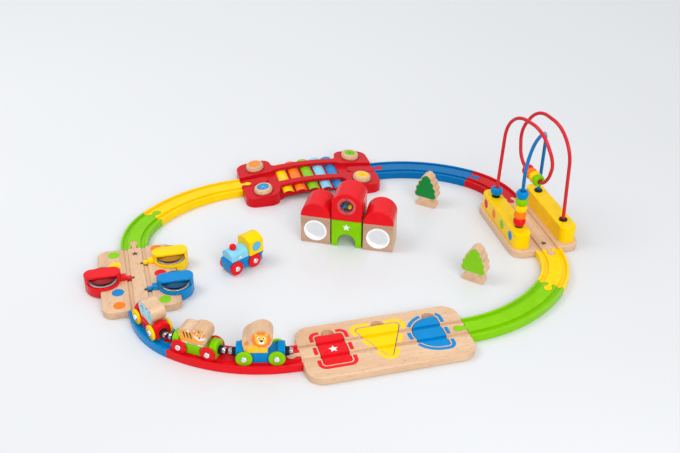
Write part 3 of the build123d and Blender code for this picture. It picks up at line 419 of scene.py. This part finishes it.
# ---- station -------------------------------------------------------------------------
MIRROR_Z = 22.8
RING_R = 18.0
MIRROR_R = 15.0
MIRROR_IN = 3.4
RING_FRONT, RING_BACK = -0.7, 5.1
MIRROR_BACK = 6.0
for side, place, turn in (("left", LEFT, LEFT_TURN), ("right", RIGHT, RIGHT_TURN)):
    block = beech(f"beech_block_{side}", turn + 90)
    end_grain = beech(f"beech_end_{side}", turn, END_PALE, END_DARK)

    def block_face(c, n):
        off = hypot(c.x, c.z - MIRROR_Z)
        if off < MIRROR_R + 0.02 and MIRROR_IN - 0.1 < c.y < MIRROR_BACK and n.y < -0.5:
            return 3
        if off < RING_R + 0.04 and RING_FRONT < c.y < RING_BACK:
            return 2
        return 1 if abs(n.y) > 0.8 else 0

    dress(f"station_block_{side}", [block, end_grain, white_ring, mirror_glass], block_face, place)
    dress(f"station_roof_{side}", [gloss_paint["red"]])
dress("station_arch", [gloss_paint["green"]])

WINDOW_Z = 72.8
BEZEL_R = 14.5
BEZEL_FRONT, BEZEL_BACK = -0.52, 1.52
RATTLE_R = 10.2
CAVITY_BACK = 12.5
SCREW_R = 1.75
SCREW_IN = 0.9          # from the bezel's outer edge to a screw's middle
SCREW_BACK = -0.04


def rattle_face(c, n):
    off = hypot(c.x, c.z - WINDOW_Z)
    if off > BEZEL_R + 0.3 or c.y > CAVITY_BACK:
        return 0
    off_screw = hypot(c.x, abs(c.z - WINDOW_Z) - (BEZEL_R - SCREW_IN))
    if c.y < BEZEL_FRONT or (off_screw < SCREW_R and c.y < SCREW_BACK):
        return 3
    if off > RATTLE_R - 0.02 and c.y < BEZEL_BACK:
        return 1
    return 2


dress("rattle_block", [gloss_paint["red"], bezel_red, cavity_shaded, screw_steel], rattle_face, MIDDLE)
dress("rattle_window", [window_clear])
dress("rattle_beads", [plastic["blue"], plastic["yellow"]], lambda c, n: int(c.x > 0), MIDDLE)

for name, turn in TREE_TURNS.items():
    dress(name, [beech(f"beech_{name}", turn + 90)])

# ---- train -----------------------------------------------------------------------------
WHEEL_R = 11.0
CAP_R = 4.3
WHEEL_OUT = GAUGE + 2.0
SHAFT_R = 1.7
CAR_HALF = 31.5
COUPLER_Z = 13.0
COLLAR_R, MAGNET_R = 6.2, 4.95          # just outside the collar and the magnet
COLLAR_START, MAGNET_START = 0.03, 5.62


def dress_wheels(node, place, x, colour):
    def wheel_face(c, n):
        off = hypot(c.x - x, c.z - WHEEL_R)
        if off < CAP_R + 0.05 and abs(c.y) > WHEEL_OUT + 0.02:
            return 1
        return 2 if off < SHAFT_R and abs(c.y) < GAUGE - 1 else 0

    dress(node, [gloss_paint[colour], chrome, shaft_metal], wheel_face, place)


def dress_chassis(node, place, colour, front, rear):
    def chassis_face(c, n):
        beyond = max(c.x - front, rear - c.x)
        off = hypot(c.y, c.z - COUPLER_Z)
        if off > COLLAR_R or beyond < COLLAR_START:
            return 0
        return 1 if off > MAGNET_R or beyond < MAGNET_START else 2

    dress(node, [gloss_paint[colour], rubber, magnet], chassis_face, place)


CAR_COLOURS = {"lion": ("blue", "green"), "tiger": ("green", "red"), "hippo": ("red", "yellow")}
for name, (place, turn) in CARS.items():
    body, wheels = CAR_COLOURS[name]
    dress_chassis(f"car_{name}_chassis", place, body, CAR_HALF, -CAR_HALF)
    dress_wheels(f"car_{name}_wheels_a", place, AXLE_X, wheels)
    dress_wheels(f"car_{name}_wheels_b", place, -AXLE_X, wheels)
    dress(f"car_{name}_figure", [beech(f"beech_{name}", turn + 90)])

ENGINE_FRONT = 27.0
ENGINE_REAR = -31.0
ENGINE_AXLE = 16.5
dress_chassis("engine_chassis", ENGINE, "blue", ENGINE_FRONT, ENGINE_REAR)
dress_wheels("engine_wheels_front", ENGINE, ENGINE_AXLE, "red")
dress_wheels("engine_wheels_rear", ENGINE, -ENGINE_AXLE, "red")
BUTTON_X = 12.5
BUTTON_Z = 40.2
BUTTON_R = 5.4
BUTTON_LOW = 36.5
dress("engine_boiler", [gloss_paint["sky"], gloss_paint["red"]],
      lambda c, n: int((c - Vector((BUTTON_X, 0, BUTTON_Z))).length < BUTTON_R and c.z > BUTTON_LOW),
      ENGINE)
dress("engine_cab", [gloss_paint["yellow"]])


# ---- printed shapes ----------------------------------------------------------------------
def flat_shape(name, outline, plane, material, body, layer=0):
    """A thin printed shape: a closed outline in a drawing plane's millimetres."""
    low = LIFT + layer * INK
    count = len(outline)
    points = [plane @ Vector((x, y, low + h)) for h in (0, INK) for x, y in outline]
    sides = [(i, (i + 1) % count, count + (i + 1) % count, count + i) for i in range(count)]
    mesh = bpy.data.meshes.new(name)
    mesh.from_pydata(points, [], [tuple(range(count, 2 * count)), tuple(reversed(range(count))), *sides])
    mesh.update()
    mesh.materials.append(material)
    piece = bpy.data.objects.new(name, mesh)
    bpy.context.scene.collection.objects.link(piece)
    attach(piece, body)


def disc(x, y, r, tall=None, steps=40):
    """The outline of a circle or an upright oval."""
    tall = tall or r
    return [(x + r * cos(2 * pi * i / steps), y + tall * sin(2 * pi * i / steps)) for i in range(steps)]


def smooth(points, steps=6):
    """A closed smooth curve through a few points."""
    made = []
    count = len(points)
    for i in range(count):
        a, b, c, d = (Vector(points[(i + k) % count]) for k in (-1, 0, 1, 2))
        for s in range(steps):
            t = s / steps
            p = 0.5 * (2 * b + (c - a) * t + (2 * a - 5 * b + 4 * c - d) * t**2
                       + (3 * b - a - 3 * c + d) * t**3)
            made.append((p.x, p.y))
    return made


def star(x, y, r, points=5):
    """A plain star's outline."""
    turns = [(r if i % 2 == 0 else 0.45 * r, pi / 2 + pi * i / points) for i in range(2 * points)]
    return [(x + q * cos(a), y + q * sin(a)) for q, a in turns]


def arc(x, y, r, start, stop, steps=8):
    """Points along a part of a circle, from a start angle to a stop angle in degrees."""
    span = [start + (stop - start) * i / steps for i in range(steps + 1)]
    return [(x + r * cos(radians(a)), y + r * sin(radians(a))) for a in span]


def band(path, width):
    """The outline of a band of even width along an open path."""
    left, right = [], []
    for i, (x, y) in enumerate(path):
        ax, ay = path[max(i - 1, 0)]
        bx, by = path[min(i + 1, len(path) - 1)]
        size = hypot(bx - ax, by - ay)
        nx, ny = -(by - ay) / size * width / 2, (bx - ax) / size * width / 2
        left.append((x + nx, y + ny))
        right.append((x - nx, y - ny))
    return left + right[::-1]


def dense(path, step=1.0):
    """A closed path with a point about every step."""
    made = []
    for (ax, ay), (bx, by) in zip(path, path[1:] + path[:1]):
        parts = max(1, round(hypot(bx - ax, by - ay) / step))
        made += [(ax + (bx - ax) * i / parts, ay + (by - ay) * i / parts) for i in range(parts)]
    return made


GROOVE_ROOM = 1.6       # bare wood kept beside a groove
NOTCH_ROOM = 11.4       # bare wood kept round a notch's middle


def dashes(name, path, notch, plane, material, width=5.4):
    """A printed outline with gaps at the finger notch and at the two wheel grooves."""
    path = dense(path)

    def kept(x, y):
        beside = abs(abs(y) - GAUGE) > GROOVE_W / 2 + GROOVE_ROOM
        return beside and hypot(x - notch[0], y - notch[1]) > NOTCH_ROOM

    start = next(i for i in range(len(path)) if not kept(*path[i - 1]) and kept(*path[i]))
    run, index = [], 0
    for point in path[start:] + path[:start] + [notch]:
        if kept(*point):
            run.append(point)
        elif len(run) > 3:
            flat_shape(f"{name}_{index}", band(run, width), plane, material, "layout")
            run, index = [], index + 1
        else:
            run = []


PUZZLE = lying(spot(0, -Y0), TRACK_H)
EDGE_GAP = 5.2          # insert's edge to the middle of its printed outline


def rounded(points, radius):
    """A closed outline with its corners rounded, points going round anticlockwise."""
    made = []
    count = len(points)
    for i in range(count):
        a, b, c = (Vector(points[(i + k) % count]) for k in (-1, 0, 1))
        u, v = (a - b).normalized(), (c - b).normalized()
        half = u.angle(v) / 2
        centre = b + (u + v).normalized() * (radius / sin(half))
        first, last = (b + side * (radius / tan(half)) for side in (u, v))
        start, stop = (atan2(*(p - centre).yx) for p in (first, last))
        while stop < start:
            stop += 2 * pi
        made += [(centre.x + radius * cos(start + (stop - start) * k / 7),
                  centre.y + radius * sin(start + (stop - start) * k / 7)) for k in range(8)]
    return made


g = EDGE_GAP
RECT_LEFT, RECT_RIGHT = -88.95 - g, -51.45 + g
RECT_LOW, RECT_HIGH = -29.35 - g, 30.15 + g
RECT = rounded([(RECT_LEFT, RECT_LOW), (RECT_RIGHT, RECT_LOW), (RECT_RIGHT, RECT_HIGH),
                (RECT_LEFT, RECT_HIGH)], 8.5)
TRI = rounded([(-0.8, -38 - 2.1 * g), (31 + 1.68 * g, 33 + g), (-34.5 - 1.68 * g, 33 + g)], 10.0)
HALF_R = 31.3
ROUND = (arc(72, 1.9, HALF_R + g, 90, 270, 36) + arc(78.5, -25.4, 4 + g, 270, 360)
         + arc(78.5, 29.2, 4 + g, 0, 90))
dashes("outline_red", RECT, (-70.2, 31.5), PUZZLE, ink["red"])
dashes("outline_yellow", TRI, (-0.5, 33.2), PUZZLE, ink["yellow"])
dashes("outline_blue", ROUND, (72.0, 33.5), PUZZLE, ink["blue"])

# plain printed dots, ovals and stars
CYMBALS = lying(spot(0, 0), TRACK_H)
DOTS = [(-335, 63.6, "green"), (-335, 35.9, "yellow"), (-335, -32.3, "blue"), (-335, -63, "orange"),
        (-272, 67.6, "orange"), (-272, 1.8, "red"), (-272, -63.4, "green")]
DOT_R = 8.7
for i, (x, y, colour) in enumerate(DOTS):
    flat_shape(f"cymbal_dot_{i}", disc(x, y, DOT_R), CYMBALS, ink[colour], "layout")
OVALS = [(48, "red"), (16, "orange"), (-16, "green"), (-48, "blue")]
OVAL_Z = 25.2
MAZE_FRONT = 51.0
maze_face = wall(spot(X0 - MAZE_FRONT, 0, 0, -90))
for i, (y, colour) in enumerate(OVALS):
    flat_shape(f"maze_dot_{i}", disc(-y, OVAL_Z, 6.8, 7.6), maze_face, ink[colour], "layout")
flat_shape("star_insert", star(-70.2, 0, 6.6), PUZZLE, ink["white"], "insert_rectangle")
flat_shape("star_cymbal_plate", star(-X0, 60.5, 6.0), CYMBALS, ink["burn"], "layout")
flat_shape("star_maze_base", star(X0, -62.0, 6.0), CYMBALS, ink["burn"], "layout")
flat_shape("star_arch", star(0, 35.2, 6.2), wall(MIDDLE), ink["white"], "arch")

# knob tops: a coloured disc, a ring of small dots and a small star
KNOB_X, KNOB_Y, KNOB_TOP = 84.0, 39.3, 7.9
KNOB_PRINT_R = 9.8
KNOB_MARKS = 6
MARK_OUT, MARK_R = 5.6, 1.1
BRIDGE_TOP, BRIDGE_END, BRIDGE_FLAT = 22.0, 15.0, 52.0
RAMP = (BRIDGE_TOP - BRIDGE_END) / (LONG_SIDE / 2 - BRIDGE_FLAT)
for colour, way_x, way_y, mark in (("red", -1, 1, "gold"), ("blue", -1, -1, "sky"),
                                   ("green", 1, 1, "leaf"), ("yellow", 1, -1, "flame")):
    seat = spot(way_x * KNOB_X, Y0 + way_y * KNOB_Y, BRIDGE_TOP - RAMP * (KNOB_X - BRIDGE_FLAT))
    plane = lying(seat @ Matrix.Rotation(atan(RAMP) * way_x, 4, "Y"), KNOB_TOP)
    base = "flame" if colour == "red" else colour
    flat_shape(f"knob_print_{colour}", disc(0, 0, KNOB_PRINT_R), plane, ink[base], f"knob_{colour}")
    for i in range(KNOB_MARKS):
        turn = 2 * pi * i / KNOB_MARKS
        mark_disc = disc(MARK_OUT * cos(turn), MARK_OUT * sin(turn), MARK_R, steps=16)
        flat_shape(f"knob_mark_{colour}_{i}", mark_disc, plane, ink[mark], f"knob_{colour}", 1)
    flat_shape(f"knob_middle_{colour}", star(0, 0, 3.0, 6), plane, ink[mark], f"knob_{colour}", 1)

# ---- trees' printed foliage -----------------------------------------------------------
FOLIAGE = [(12.4, 22.6, 6.9), (11.0, 32.0, 6.8), (7.4, 41.5, 6.6), (3.2, 50.0, 6.0), (0.0, 52.6, 6.0)]
PRINT_IN = 1.2
VALLEY_IN = 0.9
TREE_T = 17.0
LOBES = [(way * x, z, r - PRINT_IN) for x, z, r in FOLIAGE for way in (-1, 1)] + [(0, 30, 11.5)]
LOBES += [(x, FOLIAGE[0][1], FOLIAGE[0][2] - PRINT_IN) for x in (-8, -4, 0, 4, 8)]
for (x1, z1, r1), (x2, z2, r2) in zip(FOLIAGE[:-1], FOLIAGE[1:]):
    half = sqrt((x2 - x1)**2 + (z2 - z1)**2) / 2
    valley = sqrt(((r1 + r2) / 2)**2 - half**2) - VALLEY_IN
    LOBES += [(way * (x1 + x2) / 2, (z1 + z2) / 2, valley) for way in (-1, 1)]


def foliage(steps=120, low=35.0):
    """The outline round all the lobes, seen from the tree's middle."""
    made = []
    for i in range(steps):
        ux, uz = cos(2 * pi * i / steps), sin(2 * pi * i / steps)
        reach = 0.0
        for x, z, r in LOBES:
            along = x * ux + (z - low) * uz
            miss = r**2 - (x**2 + (z - low)**2 - along**2)
            if miss > 0:
                reach = max(reach, along + sqrt(miss))
        made.append((reach * ux, low + reach * uz))
    return made


for name, place in TREES.items():
    colour = ink["leaf"] if name == "tree_dark" else ink["green"]
    flat_shape(f"{name}_front", foliage(), wall(place), colour, name)
    flat_shape(f"{name}_back", foliage(), wall(place, TREE_T, back=True), colour, name)

# ---- animals on the figures ---------------------------------------------------------------
DECK = 18.15
# how far each figure's near and far faces are from the car's middle
FIGURE_SIDES = {"lion": (10.5, 10.5), "tiger": (10.5, 10.6), "hippo": (9.8, 10.6)}
LION_ART = [
    ("body", smooth([(-17.5, 1.2), (-17.2, 8), (-12, 13), (-4, 12), (4, 9), (8.4, 8.5), (8.2, 1.2),
                     (-5, 0.9)]), "gold", 0),
    ("tail", band([(-16.6, 6), (-18.6, 10), (-17.6, 14)], 1.3), "gold", 0),
    ("tuft", smooth([(-18.6, 13), (-19.6, 17), (-16.0, 20.4), (-14.0, 17.5), (-15.6, 14)]), "flame", 1),
    ("mane", smooth([(2 + r * cos(pi * k / 10), 22 + r * sin(pi * k / 10))
                     for k, r in enumerate([13.3, 11.9] * 10)], 4), "flame", 1),
    ("ear_a", disc(-4.4, 29.2, 2.3), "gold", 2),
    ("ear_b", disc(8.4, 29.2, 2.3), "gold", 2),
    ("face", smooth([(-5.6, 24), (-4.6, 17.5), (-0.8, 14), (4.8, 14), (8.6, 17.5), (9.6, 24), (6.6, 29),
                     (-2.6, 29)]), "gold", 2),
    ("muzzle", disc(2, 17.8, 3.6, 2.9), "white", 3),
    ("eye_a", disc(-1.4, 24.4, 1.9, 2.3), "white", 3),
    ("eye_b", disc(5.4, 24.4, 1.9, 2.3), "white", 3),
    ("pupil_a", disc(-0.8, 24.2, 0.9, 1.2), "black", 4),
    ("pupil_b", disc(4.8, 24.2, 0.9, 1.2), "black", 4),
    ("nose", smooth([(-0.4, 21.0), (4.4, 21.0), (2.0, 17.9)]), "black", 4),
]
TIGER_ART = [
    ("body", smooth([(-18.6, 2.6), (-19.8, 12), (-18.8, 18.4), (-14, 20.6), (-4, 21.4), (6, 19), (12, 12),
                     (13.6, 6), (12.8, 1.2), (6.8, 1.2), (5.6, 4.4), (-8.6, 4.4), (-10, 1.2),
                     (-16.8, 1.2)]), "amber", 0),
    *[(f"stripe_{k}", smooth([(x - 1.3, 18.6), (x + 0.9, 18.4), (x + 2.0, 13), (x + 2.2, 8.6),
                              (x + 0.6, 11.4), (x - 0.4, 15)]), "brown", 1)
      for k, x in enumerate((-13.4, -8.6, -4.0))],
    ("tail_tip", smooth([(-8.2, 22.4), (-6.8, 20.0), (-4.4, 20.4), (-5.0, 23.2)]), "white", 2),
    ("paw_a", disc(-15.2, 1.9, 2.3, 1.2), "white", 2),
    ("paw_b", disc(-11.2, 1.9, 1.9, 1.2), "white", 2),
    ("paw_c", disc(8.0, 1.9, 2.0, 1.2), "white", 2),
    ("paw_d", disc(12.0, 1.9, 1.9, 1.2), "white", 2),
    ("head", smooth([(1.4, 15.4), (1.2, 20.4), (3.6, 24.4), (9.6, 26.2), (15.6, 24.4), (18.2, 20.2),
                     (17.8, 15.4), (13.4, 11.6), (5.6, 11.6)]), "amber", 2),
    ("ear_a", disc(2.8, 24.4, 2.0), "amber", 2),
    ("ear_b", disc(16.6, 24.2, 1.9), "amber", 2),
    ("inner_a", disc(3.0, 24.2, 1.1), "white", 3),
    ("inner_b", disc(16.2, 24.0, 1.1), "white", 3),
    ("cheek_a", smooth([(0.6, 17.6), (3.8, 15.6), (8.2, 15.2), (9.2, 11.4), (5.0, 11.6),
                        (1.8, 14.0)]), "white", 3),
    ("cheek_b", smooth([(18.8, 17.4), (15.2, 15.6), (11.0, 15.2), (10.0, 11.4), (14.4, 11.6),
                        (17.6, 14.0)]), "white", 3),
    ("muzzle", disc(9.6, 12.8, 3.6, 2.9), "white", 4),
    ("eye_a", disc(6.4, 19.4, 1.9, 1.7), "white", 3),
    ("eye_b", disc(12.4, 19.4, 1.9, 1.7), "white", 3),
    ("pupil_a", disc(7.0, 19.2, 0.8, 0.9), "black", 4),
    ("pupil_b", disc(11.8, 19.2, 0.8, 0.9), "black", 4),
    ("nose", smooth([(8.2, 15.4), (11.2, 15.4), (9.7, 13.4)]), "black", 5),
    ("brow", smooth([(8.6, 25.4), (10.4, 25.4), (9.9, 22.6), (9.1, 22.6)]), "brown", 3),
    ("brow_a", band([(3.0, 20.8), (4.4, 20.0)], 0.9), "brown", 3),
    ("brow_b", band([(16.4, 20.4), (15.0, 19.8)], 0.9), "brown", 3),
]
HIPPO_ART = [
    ("body", smooth([(-12.4, 1.6), (-14.4, 6.8), (-16.2, 14), (-13.8, 21), (-7.6, 24.4), (3, 25.4),
                     (14, 25.2), (20.2, 23.6), (22.4, 19.2), (21.8, 14), (18.6, 9), (16.4, 5), (16.0, 1.4),
                     (9.8, 1.4), (8.4, 4.6), (-4.6, 4.6), (-6.2, 1.4)]), "pale_sky", 0),
    ("snout", smooth([(13.2, 8.2), (10.6, 11.4), (11.6, 15.6), (16.4, 17.4), (20.8, 15.6), (20.4, 11.4),
                      (17.6, 8.2)]), "sky", 1),
    ("ear_a", disc(8.2, 22.8, 1.7, 2.0), "deep_sky", 1),
    ("ear_b", disc(17.0, 22.6, 1.7, 2.0), "deep_sky", 1),
    ("nostril_a", disc(14.0, 13.6, 0.8, 1.2), "deep_sky", 2),
    ("nostril_b", disc(18.0, 13.4, 0.8, 1.2), "deep_sky", 2),
    ("eye_a", disc(11.0, 19.4, 1.5, 1.7), "white", 1),
    ("eye_b", disc(16.4, 19.4, 1.5, 1.7), "white", 1),
    ("pupil_a", disc(11.3, 19.2, 0.7, 0.9), "black", 2),
    ("pupil_b", disc(16.0, 19.2, 0.7, 0.9), "black", 2),
    ("back_mark", smooth([(-7.6, 19.4), (-4.6, 21.4), (-2.4, 18.2), (-2.8, 13.0), (-4.4, 9.4), (-4.6, 14.2),
                          (-6.4, 17.2)]), "deep_sky", 1),
    ("tail", band(arc(-12.6, 17.2, 2.6, -70, 60), 1.1), "deep_sky", 1),
    ("leg_mark", band([(-3.6, 4.8), (-2.2, 8.6)], 1.0), "deep_sky", 1),
    ("toe_a", disc(-10.8, 2.7, 1.0, 0.8), "white", 1),
    ("toe_b", disc(-8.0, 2.7, 1.0, 0.8), "white", 1),
    ("toe_c", disc(12.0, 2.8, 1.0, 0.8), "white", 1),
]
ART = {"lion": LION_ART, "tiger": TIGER_ART, "hippo": HIPPO_ART}
for animal, shapes in ART.items():
    place = CARS[animal][0]
    for part, outline, colour, layer in shapes:
        near = wall(place, FIGURE_SIDES[animal][0], DECK)
        far = wall(place, FIGURE_SIDES[animal][1], DECK, back=True)
        flat_shape(f"{animal}_{part}", outline, near, ink[colour], f"figure_{animal}", layer)
        mirrored = [(-x, y) for x, y in outline][::-1]
        flat_shape(f"{animal}_{part}_far", mirrored, far, ink[colour], f"figure_{animal}", layer)

# ---- engine's round cab windows and side stars --------------------------------------------
CAB_HALF = 14.8
BODY_HALF = 12.0
PANE_X, PANE_Z = 19.7, 35.4
STAR_X, STAR_Z = 8.6, 26.6
for side, back in (("a", False), ("b", True)):
    plane = wall(ENGINE, CAB_HALF, 0, back)
    middle = PANE_X if back else -PANE_X
    flat_shape(f"cab_ring_{side}", disc(middle, PANE_Z, 7.6), plane, ink["deep_sky"], "engine")
    flat_shape(f"cab_window_{side}", disc(middle, PANE_Z, 6.7), plane, ink["pane"], "engine", 1)
    hood = wall(ENGINE, BODY_HALF, 0, back)
    boiler_star = star(-STAR_X if back else STAR_X, STAR_Z, 2.8)
    flat_shape(f"boiler_star_{side}", boiler_star, hood, ink["white"], "engine")

# ---- floor, light and camera -----------------------------------------------------------------
bpy.ops.mesh.primitive_plane_add(size=14, location=(0, 0, 0))
ground = bpy.context.object
ground.name = "studio_floor"
ground.data.materials.append(studio_floor("studio_floor"))


def softbox(name, place, size, power):
    """A round area light at a place, turned to the set's middle."""
    light = bpy.data.lights.new(name, "AREA")
    light.shape = "DISK"
    light.size, light.energy = size, power
    lamp = bpy.data.objects.new(name, light)
    bpy.context.scene.collection.objects.link(lamp)
    lamp.location = place
    lamp.rotation_mode = "QUATERNION"
    lamp.rotation_quaternion = (-Vector(place)).to_track_quat("-Z", "Y")


softbox("key", (-1.3, 0.3, 1.9), 1.1, 14)
softbox("fill", (0.3, -2.0, 1.3), 1.6, 31)
world = bpy.data.worlds.new("studio")
world.use_nodes = True
sky = world.node_tree
up = sky.nodes.new("ShaderNodeSeparateXYZ")
sky.links.new(sky.nodes.new("ShaderNodeTexCoord").outputs["Generated"], up.inputs[0])
rise = sky.nodes.new("ShaderNodeValToRGB")
sky.links.new(up.outputs["Z"], rise.inputs["Fac"])
SKY_TINT = Vector((0.96, 0.975, 1.0))
stops = rise.color_ramp.elements
for at, tone in ((0.0, 0.62), (0.14, 0.42), (0.3, 0.75), (0.6, 1.0)):
    stop = stops.new(at) if at else stops[0]
    stop.color = (*(SKY_TINT * tone), 1)
stops[-1].color = (*SKY_TINT, 1)
sky.links.new(rise.outputs["Color"], sky.nodes["Background"].inputs["Color"])
sky.nodes["Background"].inputs["Strength"].default_value = 0.86
bpy.context.scene.world = world

AZIMUTH, ELEVATION, ROLL = radians(-14.950), radians(32.734), radians(0.5037)
back = Vector((sin(AZIMUTH) * cos(ELEVATION), -cos(AZIMUTH) * cos(ELEVATION), sin(ELEVATION)))
across = Vector((0, 0, 1)).cross(back).normalized()
upward = back.cross(across)
level_x = across * cos(ROLL) + upward * sin(ROLL)
level_y = upward * cos(ROLL) - across * sin(ROLL)
camera = bpy.data.objects.new("camera", bpy.data.cameras.new("camera"))
bpy.context.scene.collection.objects.link(camera)
camera.data.lens = 50.913
camera.data.sensor_width = 36
CAMERA_AT = (-0.30366, -1.17032, 0.82764)
axes = Matrix((level_x, level_y, back)).transposed().to_4x4()
camera.matrix_world = Matrix.Translation(CAMERA_AT) @ axes
bpy.context.scene.camera = camera
bpy.context.scene.view_settings.view_transform = "Standard"
